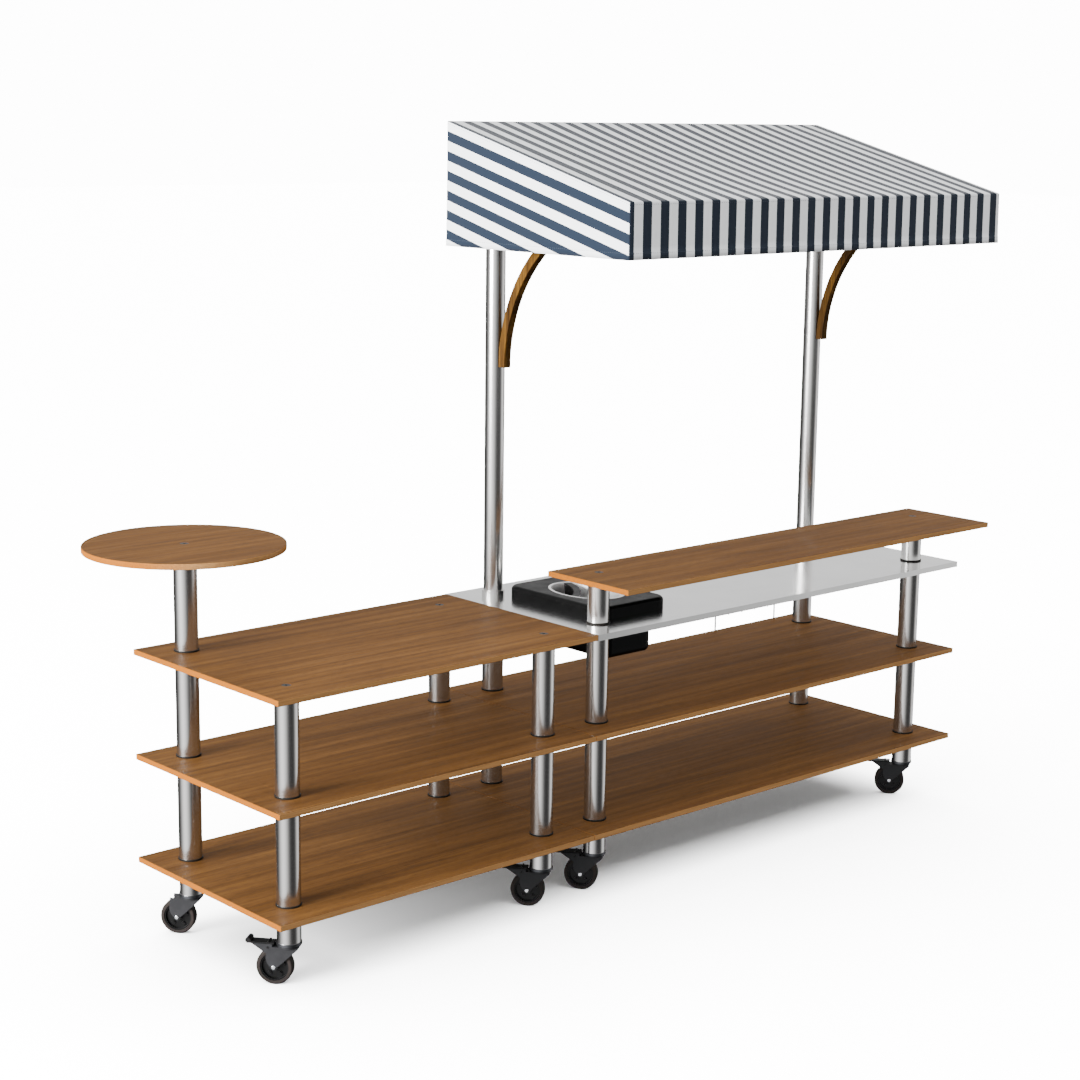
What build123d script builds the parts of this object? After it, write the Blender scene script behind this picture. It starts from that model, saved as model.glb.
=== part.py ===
from build123d import *
from math import cos, radians, sin, sqrt
import os

# A push vending cart made of two wheeled units that stand side by side: a low side unit with
# a round table, and a main unit with a steel counter, a drop-in sink, a service ledge and an
# awning. All sizes are in millimetres.
#
# Layout axes: X runs along the cart from the side unit to the main unit, Y from the customer's
# side to the vendor's side, Z up from the floor. The layout starts at the outer front corner of
# the side unit. The written parts are moved so that the origin is on the floor, under the middle
# of the cart's outline.

# Boards and tiers
SIDE_LENGTH = 1220.0
MAIN_LENGTH = 1828.0
DEPTH = 760.0
UNIT_GAP = 0.6
BOARD = 18.0
TIER_TUBE = 312.0
BASE_TUBE = 93.0
LEDGE_TUBE = 148.5
LEDGE_WIDTH = 370.0
LEDGE_OVERHANG = 129.0
TABLE_RADIUS = 305.0

# Posts, their feet and the tie rods inside them
POST_RADIUS = 36.0
POST_WALL = 2.0
POST_INSET_END = 117.0
POST_INSET_FRONT = 126.0
POST_INSET_BACK = 114.0
RING_HEIGHT = 5.0
RING_WALL = 2.2
RING_CLEARANCE = 0.15
ROD_RADIUS = 6.0
ROD_CLEARANCE = 0.5
THREAD_CLEARANCE = 0.05
ROD_ENGAGEMENT = 4.0
CAP_RADIUS = 14.5
CAP_HEIGHT = 8.0
CAP_CLEARANCE = 0.3
CAP_SINK = 0.2
CAP_SOCKET = 8.0
CAP_SOCKET_DEPTH = 3.0

# Steel counter
SHEET = 1.5
COUNTER_EDGE = 20.0

# Awning posts and collars
AWNING_POST_RADIUS = POST_RADIUS - 3.0
COLLAR_WALL = 5.5
COLLAR_HEIGHT = 20.0
AWNING_ROD_END = 40.0

# Awning cover and its frame
AWNING_BOTTOM = 1176.0
VALANCE = 174.0
AWNING_RISE = 231.0
AWNING_OVERHANG = 103.0
FABRIC = 2.0
FRAME_TUBE = 25.0
FRAME_WALL = 1.5
FRAME_LIFT = 5.0
FIT_GAP = 0.3

# Curved wooden awning brackets
BRACKET_RADIUS = 526.0
BRACKET_THICKNESS = 29.0
BRACKET_WIDTH = 27.0
BRACKET_START = 781.0

# Drop-in sink, placed from the main unit's outer front corner and kept clear of the posts
SINK_X = POST_INSET_END + POST_RADIUS + 141.0
SINK_Y = (POST_INSET_FRONT + DEPTH - POST_INSET_BACK) / 2 - 16.0
RIM_LENGTH = DEPTH - POST_INSET_FRONT - POST_INSET_BACK - 50.0
RIM_WIDTH = 314.0
RIM_HEIGHT = 40.0
RIM_CORNER = 50.0
RIM_EDGE_ROUND = 14.0
TUB_LENGTH = RIM_LENGTH - 54.0
TUB_WIDTH = RIM_WIDTH - 98.0
TUB_DEPTH = 144.0
TUB_CORNER = 30.0
TUB_BOTTOM_ROUND = 18.0
SINK_WALL = 4.0
CUTOUT_CLEARANCE = 2.0
BOWL_HALF_WIDTH = TUB_WIDTH / 2 + 2.0
BOWL_HALF_LENGTH = 0.36 * TUB_LENGTH
BOWL_FLANGE = 7.0
BOWL_SETBACK = 2.0
BOWL_DEPTH = RIM_HEIGHT - BOWL_SETBACK + TUB_DEPTH - SINK_WALL - 13.0
BOWL_DRAFT = 24.0
BOWL_WALL = 2.0
DIVIDER_RADIUS = 309.0
DIVIDER_THICKNESS = 24.0
DIVIDER_SAG = 22.0
DIVIDER_DIRECTION = 50.7
DIVIDER_OFFSET = 54.0
DRAIN_X = 25.0
DRAIN_Y = -0.3 * BOWL_HALF_LENGTH
DRAIN_RADIUS = 28.0
DRAIN_PIPE_RADIUS = 19.0
DRAIN_TAIL = 20.0
DRAIN_HOLE_RADIUS = 3.5
DRAIN_HOLES = 6

# Wire rack under the back edge of the counter
RACK_WIDTH = 334.0
RACK_START = MAIN_LENGTH - RACK_WIDTH - 161.0
RACK_INSET = 8.0
RACK_ROD_RADIUS = 3.0
RACK_WIRE_RADIUS = 2.0
RACK_WIRE_HEIGHT = 66.0
RACK_HOOKS = 4
RACK_HOOK_SPACING = 74.0
RACK_HOOK_DROP = 13.0

# Casters, from the floor up and from the swivel axis outwards
WHEEL_RADIUS = 55.0
TYRE_THICKNESS = 11.7
HUB_RADIUS = WHEEL_RADIUS - TYRE_THICKNESS
TREAD_WIDTH = 32.0
TREAD_ROUND = 5.0
TYRE_SEAT = 0.1
WHEEL_RIM_WIDTH = TREAD_WIDTH - 6.0
WHEEL_BOSS_RADIUS = 12.0
WHEEL_RIM_WALL = 4.0
DISH_DEPTH = 8.0
STUDS = 5
STUD_RADIUS = 5.5
STUD_SETBACK = 2.5
STUD_CIRCLE = 27.0
TRAIL = 42.0
SWIVEL_REST = 129.0
FORK_GAP = TREAD_WIDTH + 4.0
CHEEK = 3.0
BOSS_RADIUS = 10.0
CROWN_CLEARANCE = 3.5
CROWN = 4.0
CROWN_REACH = 4.0
NECK = 30.0
BEARING = 7.5
BEARING_RADIUS = 33.0
SWIVEL_GAP = 0.3
PLATE = 7.7
PLATE_RADIUS = POST_RADIUS + 2.0
KINGPIN_RADIUS = 6.0
KINGPIN_NUT_RADIUS = 9.0
KINGPIN_NUT = 5.5
SHAFT_CLEARANCE = 0.08
HUB_GAP = 0.3
AXLE_RADIUS = 4.0
AXLE_HEAD_RADIUS = 7.0
AXLE_HEAD = 4.0
AXLE_NUT_RADIUS = 7.5
AXLE_NUT = 6.0
SHOULDER_REACH = 22.0
SHOULDER_DROP = 17.5
NOTCH_RADIUS = 37.0
WING_REACH = 66.0
WING_RISE = 8.0
WING_ROOT = 4.0
PLEAT_REACH = 19.0
PLEAT = 1.2

# Brake pedals
PEDAL_CLEARANCE = 4.0
PEDAL_END = 82.0
PEDAL_WIDTH = FORK_GAP - 2.0
PEDAL_LIFT = 6.5
PEDAL_WEB = 5.0
PEDAL_LIP_RADIUS = 8.0
PEDAL_RIB = 3.0
PEDAL_FLANGE = 3.0
PEDAL_FLANGE_DROP = 12.0
PEDAL_FLANGE_LENGTH = 26.0
PIVOT_REACH = 18.0
PIVOT_RISE = 2.5
PIVOT_RADIUS = 3.0
PIVOT_OVERHANG = 2.5

# Heights worked out from the sizes above
AXLE_Z = WHEEL_RADIUS
CROWN_BOTTOM = 2 * WHEEL_RADIUS + CROWN_CLEARANCE
CROWN_TOP = CROWN_BOTTOM + CROWN
PLATE_BOTTOM = CROWN_TOP + BEARING + SWIVEL_GAP
PLATE_TOP = PLATE_BOTTOM + PLATE
BOTTOM_TOP = PLATE_TOP + BASE_TUBE + BOARD
MIDDLE_TOP = BOTTOM_TOP + TIER_TUBE + BOARD
WORK_TOP = MIDDLE_TOP + TIER_TUBE + BOARD
LEDGE_TOP = WORK_TOP + LEDGE_TUBE + BOARD
TABLE_TOP = WORK_TOP + TIER_TUBE + BOARD
COUNTER_UNDER = WORK_TOP - SHEET
AWNING_LOW = WORK_TOP + AWNING_BOTTOM
AWNING_FRONT_TOP = AWNING_LOW + VALANCE
FRAME_LOW = AWNING_LOW + FRAME_LIFT
FRAME_MIDDLE = FRAME_LOW + FRAME_TUBE

# Places worked out from the sizes above
MAIN_START = SIDE_LENGTH + UNIT_GAP
MAIN_END = MAIN_START + MAIN_LENGTH
POST_FRONT = POST_INSET_FRONT
POST_BACK = DEPTH - POST_INSET_BACK
SIDE_POSTS = {
    "side_front_left": (POST_INSET_END, POST_FRONT),
    "side_back_left": (POST_INSET_END, POST_BACK),
    "side_front_right": (SIDE_LENGTH - POST_INSET_END, POST_FRONT),
    "side_back_right": (SIDE_LENGTH - POST_INSET_END, POST_BACK),
}
MAIN_FRONT_POSTS = {
    "main_front_left": (MAIN_START + POST_INSET_END, POST_FRONT),
    "main_front_right": (MAIN_END - POST_INSET_END, POST_FRONT),
}
MAIN_BACK_POSTS = {
    "main_back_left": (MAIN_START + POST_INSET_END, POST_BACK),
    "main_back_right": (MAIN_END - POST_INSET_END, POST_BACK),
}
MAIN_POSTS = {**MAIN_FRONT_POSTS, **MAIN_BACK_POSTS}
CASTERS = {**SIDE_POSTS, **MAIN_POSTS}
BRAKED = [name for name in CASTERS if "_front_" in name]
TABLE_POST = SIDE_POSTS["side_back_left"]
TABLE_X, TABLE_Y = TABLE_POST
SINK_CENTRE = (MAIN_START + SINK_X, SINK_Y)
AWNING_FRONT = -AWNING_OVERHANG
AWNING_BACK = DEPTH
AWNING_SLOPE = AWNING_RISE / (AWNING_BACK - AWNING_FRONT)
SLOPE_FACTOR = sqrt(1 + AWNING_SLOPE**2)

# The origin is under the middle of the outline
OUTLINE_LEFT = min(0, TABLE_X - TABLE_RADIUS)
OUTLINE_FRONT = min(-LEDGE_OVERHANG, AWNING_FRONT)
OUTLINE_BACK = max(DEPTH, TABLE_Y + TABLE_RADIUS, AWNING_BACK)
MIDDLE_X = (OUTLINE_LEFT + MAIN_END) / 2
MIDDLE_Y = (OUTLINE_FRONT + OUTLINE_BACK) / 2

STANDING = (Align.CENTER, Align.CENTER, Align.MIN)
CORNER = (Align.MIN, Align.MIN, Align.MIN)


# Shared shapes


def bar(x, y, low, high, radius):
    """Upright round bar."""
    return Pos(x, y, low) * Cylinder(radius, high - low, align=STANDING)


def tube(x, y, low, high, radius, wall):
    """Upright round tube with open ends."""
    return bar(x, y, low, high, radius) - bar(x, y, low, high, radius - wall)


def block(left, right, front, back, low, high):
    """Box between six planes."""
    return Pos(left, front, low) * Box(right - left, back - front, high - low, align=CORNER)


def slab(x, y, length_x, length_y, corner, low, high):
    """Upright prism with rounded corners."""
    return Pos(x, y, low) * extrude(RectangleRounded(length_x, length_y, corner), amount=high - low)


def save(node, shapes):
    """Write the solids of one sub-part in the cart's own frame."""
    solids = [solid for shape in shapes for solid in shape.solids()]
    export_step(Pos(-MIDDLE_X, -MIDDLE_Y, 0) * Compound(solids), f"parts/{node}.step")


# Wooden boards


def drilled(board, top, rods, caps=()):
    """Board with a hole for each tie rod and a counterbore for each rod cap."""
    for x, y in rods:
        board -= bar(x, y, top - BOARD, top, ROD_RADIUS + ROD_CLEARANCE)
    for x, y in caps:
        board -= bar(x, y, top - CAP_HEIGHT - CAP_SINK, top, CAP_RADIUS + CAP_CLEARANCE)
    return board


def shelf(left, right, top, posts):
    """Full-depth shelf that is clamped between the posts."""
    return drilled(block(left, right, 0, DEPTH, top - BOARD, top), top, posts.values())


def side_top_board():
    board = block(0, SIDE_LENGTH, 0, DEPTH, WORK_TOP - BOARD, WORK_TOP)
    caps = [place for place in SIDE_POSTS.values() if place != TABLE_POST]
    return drilled(board, WORK_TOP, SIDE_POSTS.values(), caps)


def service_ledge():
    back = LEDGE_WIDTH - LEDGE_OVERHANG
    board = block(MAIN_START, MAIN_END, -LEDGE_OVERHANG, back, LEDGE_TOP - BOARD, LEDGE_TOP)
    places = MAIN_FRONT_POSTS.values()
    return drilled(board, LEDGE_TOP, places, places)


def round_table_top():
    board = bar(TABLE_X, TABLE_Y, TABLE_TOP - BOARD, TABLE_TOP, TABLE_RADIUS)
    return drilled(board, TABLE_TOP, [TABLE_POST], [TABLE_POST])


# Posts, rings, rods and caps


def post_tiers(name):
    """Feet and heads of the tube pieces that make up one post, from the floor up."""
    tiers = [(PLATE_TOP, BOTTOM_TOP - BOARD), (BOTTOM_TOP, MIDDLE_TOP - BOARD)]
    if name in SIDE_POSTS:
        tiers.append((MIDDLE_TOP, WORK_TOP - BOARD))
    else:
        tiers.append((MIDDLE_TOP, COUNTER_UNDER))
    if name in MAIN_FRONT_POSTS:
        tiers.append((WORK_TOP, LEDGE_TOP - BOARD))
    if CASTERS[name] == TABLE_POST:
        tiers.append((WORK_TOP, TABLE_TOP - BOARD))
    return tiers


def posts(group):
    return [
        tube(x, y, low, high, POST_RADIUS, POST_WALL)
        for name, (x, y) in group.items()
        for low, high in post_tiers(name)
    ]


def post_rings():
    """Rubber ring round the foot of every tube piece that stands on a board or the counter."""
    inner = POST_RADIUS + RING_CLEARANCE
    return [
        tube(x, y, low, low + RING_HEIGHT, inner + RING_WALL, RING_WALL)
        for name, (x, y) in CASTERS.items()
        for low, high in post_tiers(name)[1:]
    ]


def rod_top(name):
    """Height of the face that one tie rod pulls against."""
    if name in MAIN_BACK_POSTS:
        return WORK_TOP + AWNING_ROD_END
    seat = post_tiers(name)[-1][1] + BOARD
    return seat - CAP_SINK - CAP_HEIGHT + ROD_ENGAGEMENT


def tie_rods():
    return [
        bar(x, y, PLATE_TOP - ROD_ENGAGEMENT, rod_top(name), ROD_RADIUS)
        for name, (x, y) in CASTERS.items()
    ]


def cap(x, y, board_top):
    """Flush round cap with a hexagon socket, screwed on to a tie rod."""
    top = board_top - CAP_SINK
    low = top - CAP_HEIGHT
    shape = bar(x, y, low, top, CAP_RADIUS)
    shape -= bar(x, y, low, low + ROD_ENGAGEMENT, ROD_RADIUS + THREAD_CLEARANCE)
    socket = RegularPolygon(CAP_SOCKET / 2, 6, major_radius=False)
    return shape - Pos(x, y, top - CAP_SOCKET_DEPTH) * extrude(socket, amount=CAP_SOCKET_DEPTH)


def cap_bolts():
    return [
        cap(*CASTERS[name], post_tiers(name)[-1][1] + BOARD)
        for name in CASTERS
        if name not in MAIN_BACK_POSTS
    ]


# Steel counter


def steel_counter():
    """Folded sheet with a downturned edge, rod holes and the sink's cut-out."""
    body = block(MAIN_START, MAIN_END, 0, DEPTH, WORK_TOP - COUNTER_EDGE, WORK_TOP)
    body -= block(
        MAIN_START + SHEET, MAIN_END - SHEET, SHEET, DEPTH - SHEET, WORK_TOP - COUNTER_EDGE, COUNTER_UNDER
    )
    for x, y in MAIN_POSTS.values():
        body -= bar(x, y, COUNTER_UNDER, WORK_TOP, ROD_RADIUS + ROD_CLEARANCE)
    width = TUB_WIDTH + 2 * CUTOUT_CLEARANCE
    length = TUB_LENGTH + 2 * CUTOUT_CLEARANCE
    corner = TUB_CORNER + CUTOUT_CLEARANCE
    return body - slab(*SINK_CENTRE, width, length, corner, COUNTER_UNDER, WORK_TOP)


# Drop-in sink


def oval(shrink, height):
    """Level oval face, smaller than the bowl's mouth by shrink all round."""
    return Pos(*SINK_CENTRE, height) * Ellipse(BOWL_HALF_WIDTH - shrink, BOWL_HALF_LENGTH - shrink)


RIM_TOP = WORK_TOP + RIM_HEIGHT
BOWL_SEAT = RIM_TOP - BOWL_SETBACK
BOWL_FLOOR = BOWL_SEAT - BOWL_DEPTH
TUB_BOTTOM = WORK_TOP - TUB_DEPTH


def drain_bore(clearance, low, high):
    x, y = SINK_CENTRE
    return bar(x + DRAIN_X, y + DRAIN_Y, low, high, DRAIN_PIPE_RADIUS + clearance)


def sink_housing():
    """Black moulding: a raised hollow rim on the counter and a tub that hangs below it."""
    rim = slab(*SINK_CENTRE, RIM_WIDTH, RIM_LENGTH, RIM_CORNER, WORK_TOP, RIM_TOP)
    rim = fillet(rim.faces().sort_by(Axis.Z)[-1].edges(), RIM_EDGE_ROUND)
    wall = 2 * SINK_WALL
    hollow = slab(
        *SINK_CENTRE, RIM_WIDTH - wall, RIM_LENGTH - wall, RIM_CORNER - SINK_WALL,
        WORK_TOP, RIM_TOP - RIM_EDGE_ROUND - SINK_WALL,
    )
    tub = slab(*SINK_CENTRE, TUB_WIDTH, TUB_LENGTH, TUB_CORNER, TUB_BOTTOM, RIM_TOP - RIM_EDGE_ROUND)
    tub = fillet(tub.faces().sort_by(Axis.Z)[0].edges(), TUB_BOTTOM_ROUND)
    well = slab(
        *SINK_CENTRE, TUB_WIDTH - wall, TUB_LENGTH - wall, TUB_CORNER - SINK_WALL,
        TUB_BOTTOM + SINK_WALL, BOWL_SEAT - SINK_WALL,
    )
    well = fillet(well.faces().sort_by(Axis.Z)[0].edges(), TUB_BOTTOM_ROUND - SINK_WALL)
    shape = (rim - hollow) + tub - well
    shape -= extrude(oval(BOWL_FLANGE - FIT_GAP, TUB_BOTTOM + SINK_WALL), amount=BOWL_SEAT - TUB_BOTTOM)
    shape -= extrude(oval(0, BOWL_SEAT), amount=BOWL_SETBACK)
    return shape - drain_bore(FIT_GAP, TUB_BOTTOM, TUB_BOTTOM + SINK_WALL)


def bowl_space(shrink, floor):
    """Tapered oval volume inside the bowl's outer wall, from the floor up to the seat."""
    top = oval(BOWL_FLANGE + shrink, BOWL_SEAT)
    bottom = oval(BOWL_DRAFT + BOWL_FLANGE + shrink, floor)
    return loft([top.face(), bottom.face()])


def sink_bowl():
    """Pressed bowl that hangs by its flange in the housing."""
    flange = extrude(oval(FIT_GAP, BOWL_SEAT), amount=BOWL_WALL)
    mouth = extrude(oval(BOWL_FLANGE + BOWL_WALL, BOWL_SEAT), amount=BOWL_WALL)
    shell = bowl_space(0, BOWL_FLOOR) - bowl_space(BOWL_WALL, BOWL_FLOOR + BOWL_WALL)
    bowl = shell + (flange - mouth)
    return bowl - drain_bore(FIT_GAP, BOWL_FLOOR, BOWL_FLOOR + BOWL_WALL)


def sink_divider():
    """Curved black wall that parts the bowl in two."""
    x, y = SINK_CENTRE
    angle = radians(DIVIDER_DIRECTION)
    reach = DIVIDER_RADIUS - DIVIDER_SAG + DIVIDER_OFFSET
    ring = Circle(DIVIDER_RADIUS + DIVIDER_THICKNESS / 2) - Circle(DIVIDER_RADIUS - DIVIDER_THICKNESS / 2)
    floor = BOWL_FLOOR + BOWL_WALL
    centre = Pos(x - reach * sin(angle), y + reach * cos(angle), floor + FIT_GAP)
    wall = centre * extrude(ring, amount=BOWL_DEPTH)
    return wall & bowl_space(BOWL_WALL + FIT_GAP, floor)


def drain():
    """Strainer with a flange on the bowl's floor and a tail below the tub."""
    x, y = SINK_CENTRE[0] + DRAIN_X, SINK_CENTRE[1] + DRAIN_Y
    floor = BOWL_FLOOR + BOWL_WALL
    shape = bar(x, y, floor, floor + BOWL_WALL, DRAIN_RADIUS)
    shape += tube(x, y, TUB_BOTTOM - DRAIN_TAIL, floor, DRAIN_PIPE_RADIUS, POST_WALL)
    circle = PolarLocations(DRAIN_PIPE_RADIUS / 2, DRAIN_HOLES)
    for place in circle:
        shape -= Pos(x, y, floor) * place * Cylinder(DRAIN_HOLE_RADIUS, BOWL_WALL, align=STANDING)
    return shape


# Wire rack


def rack_wire(left, right, y, height, radius):
    """Level wire along X."""
    return Pos(left, y, height) * Rot(0, 90, 0) * Cylinder(radius, right - left, align=STANDING)


def wire_rack():
    """Two hanging rods, a cross wire between them and short hooks below the wire."""
    left = MAIN_START + RACK_START
    right = left + RACK_WIDTH
    y = DEPTH - RACK_INSET
    height = MIDDLE_TOP + RACK_WIRE_HEIGHT
    wires = [bar(x, y, MIDDLE_TOP, COUNTER_UNDER, RACK_ROD_RADIUS) for x in (left, right)]
    wires.append(rack_wire(left + RACK_ROD_RADIUS, right - RACK_ROD_RADIUS, y, height, RACK_WIRE_RADIUS))
    for index in range(RACK_HOOKS):
        x = left + (index + 1) * RACK_HOOK_SPACING
        top = height - RACK_WIRE_RADIUS
        wires.append(bar(x, y, top - RACK_HOOK_DROP, top, RACK_WIRE_RADIUS))
    return wires


# Awning


def roof_height(y):
    """Height of the cover's outer face above a point on the slope."""
    return AWNING_FRONT_TOP + AWNING_SLOPE * (y - AWNING_FRONT)


def prism_x(points, left, right):
    """Prism along X from a closed outline of (y, z) points."""
    outline = make_face(Polyline(*[(left, y, z) for y, z in points], close=True))
    return extrude(outline, amount=right - left, dir=(1, 0, 0))


def awning_cover():
    """Canvas box with a sloping top and an open underside."""
    outer = [
        (AWNING_FRONT, AWNING_LOW),
        (AWNING_FRONT, AWNING_FRONT_TOP),
        (AWNING_BACK, roof_height(AWNING_BACK)),
        (AWNING_BACK, AWNING_LOW),
    ]
    front = AWNING_FRONT + FABRIC
    back = AWNING_BACK - FABRIC
    drop = FABRIC * SLOPE_FACTOR
    inner = [
        (front, AWNING_LOW - FABRIC),
        (front, roof_height(front) - drop),
        (back, roof_height(back) - drop),
        (back, AWNING_LOW - FABRIC),
    ]
    return prism_x(outer, MAIN_START, MAIN_END) - prism_x(inner, MAIN_START + FABRIC, MAIN_END - FABRIC)


FRAME_FRONT = AWNING_FRONT + FABRIC + FIT_GAP
FRAME_BACK = AWNING_BACK - FABRIC - FIT_GAP
FRAME_LEFT = MAIN_START + FABRIC + FIT_GAP
FRAME_RIGHT = MAIN_END - FABRIC - FIT_GAP


def frame_top(y):
    """Highest level that the frame may reach under the cover."""
    return roof_height(y) - FABRIC * SLOPE_FACTOR - FIT_GAP


def box_tube(left, right, front, back, low, high):
    """Square tube along the longest side of its box."""
    sides = [right - left, back - front, high - low]
    inset = [FRAME_WALL if side < max(sides) else 0 for side in sides]
    outer = block(left, right, front, back, low, high)
    return outer - block(
        left + inset[0], right - inset[0], front + inset[1], back - inset[1], low + inset[2], high - inset[2]
    )


def rafter(middle):
    """Sloping tube under the cover, between the two top rails."""
    front = FRAME_FRONT + FRAME_TUBE
    back = FRAME_BACK - FRAME_TUBE
    half = FRAME_TUBE / 2

    def outline(inset):
        top = inset * SLOPE_FACTOR
        bottom = (FRAME_TUBE - inset) * SLOPE_FACTOR
        return [
            (front, frame_top(front) - top),
            (back, frame_top(back) - top),
            (back, frame_top(back) - bottom),
            (front, frame_top(front) - bottom),
        ]

    solid = prism_x(outline(0), middle - half, middle + half)
    return solid - prism_x(outline(FRAME_WALL), middle - half + FRAME_WALL, middle + half - FRAME_WALL)


def awning_frame():
    """Tubes of the awning's frame, butted together."""
    front_inner = FRAME_FRONT + FRAME_TUBE
    back_inner = FRAME_BACK - FRAME_TUBE
    tubes = []
    for front, back in ((FRAME_FRONT, front_inner), (back_inner, FRAME_BACK)):
        rail_top = frame_top(front)
        rail_low = rail_top - FRAME_TUBE
        tubes.append(box_tube(FRAME_LEFT, FRAME_RIGHT, front, back, FRAME_LOW, FRAME_MIDDLE))
        tubes.append(box_tube(FRAME_LEFT, FRAME_RIGHT, front, back, rail_low, rail_top))
        for left in (FRAME_LEFT, FRAME_RIGHT - FRAME_TUBE):
            tubes.append(box_tube(left, left + FRAME_TUBE, front, back, FRAME_MIDDLE, rail_low))
    half = FRAME_TUBE / 2
    for middle in (FRAME_LEFT + half, FRAME_RIGHT - half):
        tubes.append(rafter(middle))
        tubes.append(
            box_tube(middle - half, middle + half, front_inner, back_inner, FRAME_LOW, FRAME_MIDDLE)
        )
    for middle, y in MAIN_BACK_POSTS.values():
        tubes.append(rafter(middle))
        spans = (
            (front_inner, y - AWNING_POST_RADIUS - FIT_GAP),
            (y + AWNING_POST_RADIUS + FIT_GAP, back_inner),
        )
        for front, back in spans:
            tubes.append(box_tube(middle - half, middle + half, front, back, FRAME_LOW, FRAME_MIDDLE))
    return tubes


def awning_posts():
    """Posts from the counter up to the rafters."""
    low_edge = POST_BACK - AWNING_POST_RADIUS
    top = frame_top(low_edge) - FRAME_TUBE * SLOPE_FACTOR - FIT_GAP
    return [tube(x, y, WORK_TOP, top, AWNING_POST_RADIUS, POST_WALL) for x, y in MAIN_BACK_POSTS.values()]


def post_collars():
    inner = AWNING_POST_RADIUS + RING_CLEARANCE
    return [
        tube(x, y, WORK_TOP, WORK_TOP + COLLAR_HEIGHT, inner + COLLAR_WALL, COLLAR_WALL)
        for x, y in MAIN_BACK_POSTS.values()
    ]


def awning_bracket(x, y):
    """Bent wooden strip from the front of an awning post up to the frame."""
    outer = BRACKET_RADIUS + BRACKET_THICKNESS / 2
    inner = BRACKET_RADIUS - BRACKET_THICKNESS / 2
    back = y - AWNING_POST_RADIUS - FIT_GAP
    low = WORK_TOP + BRACKET_START
    ring = Circle(outer) - Circle(inner)
    hoop = Pos(x, back - outer, low) * Rot(0, 90, 0) * extrude(ring, amount=BRACKET_WIDTH / 2, both=True)
    half = BRACKET_WIDTH / 2
    return hoop & block(x - half, x + half, back - outer, back, low, FRAME_LOW - FIT_GAP)


# Casters, modelled with the swivel axis on Z, the trail along +X and the axle along Y


def at_caster(name, shape):
    x, y = CASTERS[name]
    return Pos(x, y, 0) * Rot(0, 0, SWIVEL_REST) * shape


def cross_bar(x, z, start, end, radius):
    """Round bar across the caster, parallel to the axle."""
    return Pos(x, start, z) * Rot(-90, 0, 0) * Cylinder(radius, end - start, align=STANDING)


def axle_bar(half_length, radius):
    return cross_bar(TRAIL, AXLE_Z, -half_length, half_length, radius)


def caster_plate(x, y):
    """Round plate under a post, with the kingpin and its nut."""
    plate = bar(x, y, PLATE_BOTTOM, PLATE_TOP, PLATE_RADIUS)
    plate -= bar(x, y, PLATE_TOP - ROD_ENGAGEMENT, PLATE_TOP, ROD_RADIUS + THREAD_CLEARANCE)
    nut_top = CROWN_BOTTOM - SWIVEL_GAP
    pin = bar(x, y, nut_top - KINGPIN_NUT, PLATE_BOTTOM, KINGPIN_RADIUS)
    return plate + pin + bar(x, y, nut_top - KINGPIN_NUT, nut_top, KINGPIN_NUT_RADIUS)


def cheek_outline(winged):
    """Side of the fork: wide at the crown, narrow at the axle, notched behind the wheel's top."""
    boss_back = (TRAIL + BOSS_RADIUS, AXLE_Z)
    shoulder = (TRAIL + SHOULDER_REACH, CROWN_BOTTOM - SHOULDER_DROP)
    heel = [(shoulder[0], CROWN_TOP)]
    if winged:
        heel = [(TRAIL + WING_REACH, CROWN_TOP + WING_RISE), (TRAIL + WING_ROOT, CROWN_TOP + WING_RISE)]
        heel.append((TRAIL + WING_ROOT, CROWN_TOP))
    lines = Polyline(
        shoulder, *heel, (-NECK, CROWN_TOP), (-NECK, CROWN_BOTTOM), (TRAIL - BOSS_RADIUS, AXLE_Z), boss_back
    )
    notch = RadiusArc(boss_back, shoulder, -NOTCH_RADIUS)
    return make_face(lines + notch) + Pos(TRAIL, AXLE_Z) * Circle(BOSS_RADIUS)


def fork(winged):
    """Pressed fork with a bearing cup on its crown; a winged one carries the brake pedal."""
    inner = FORK_GAP / 2
    outer = inner + CHEEK
    shape = block(-NECK, TRAIL + CROWN_REACH, -outer, outer, CROWN_BOTTOM, CROWN_TOP)
    for start in (-outer, inner):
        cheek = extrude(Plane.XZ * cheek_outline(winged), amount=-CHEEK)
        shape += Pos(0, start, 0) * cheek
        pleat = extrude(Plane.XZ * cheek_outline(winged), amount=-PLEAT)
        pleat &= block(-NECK, PLEAT_REACH, 0, PLEAT, AXLE_Z, CROWN_TOP)
        shape += Pos(0, start - PLEAT if start < 0 else outer, 0) * pleat
    shape += bar(0, 0, CROWN_TOP, CROWN_TOP + BEARING, BEARING_RADIUS)
    shape -= bar(0, 0, CROWN_BOTTOM, CROWN_TOP + BEARING, KINGPIN_RADIUS + SHAFT_CLEARANCE)
    shape -= axle_bar(outer, AXLE_RADIUS + THREAD_CLEARANCE)
    if winged:
        shape -= cross_bar(*PIVOT, -outer, outer, PIVOT_RADIUS + SHAFT_CLEARANCE)
    return shape


def axle():
    """Axle bolt with a domed head on one side and a hexagon nut on the other."""
    outer = FORK_GAP / 2 + CHEEK
    bolt = cross_bar(TRAIL, AXLE_Z, -outer - AXLE_NUT, outer, AXLE_RADIUS)
    head = cross_bar(TRAIL, AXLE_Z, outer, outer + AXLE_HEAD, AXLE_HEAD_RADIUS)
    head = fillet(head.edges().sort_by(Axis.Y)[-1], AXLE_HEAD * cos(radians(45)))
    nut = extrude(RegularPolygon(AXLE_NUT_RADIUS, 6), amount=AXLE_NUT)
    return bolt + head + Pos(TRAIL, -outer, AXLE_Z) * Rot(90, 0, 0) * nut


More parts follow.
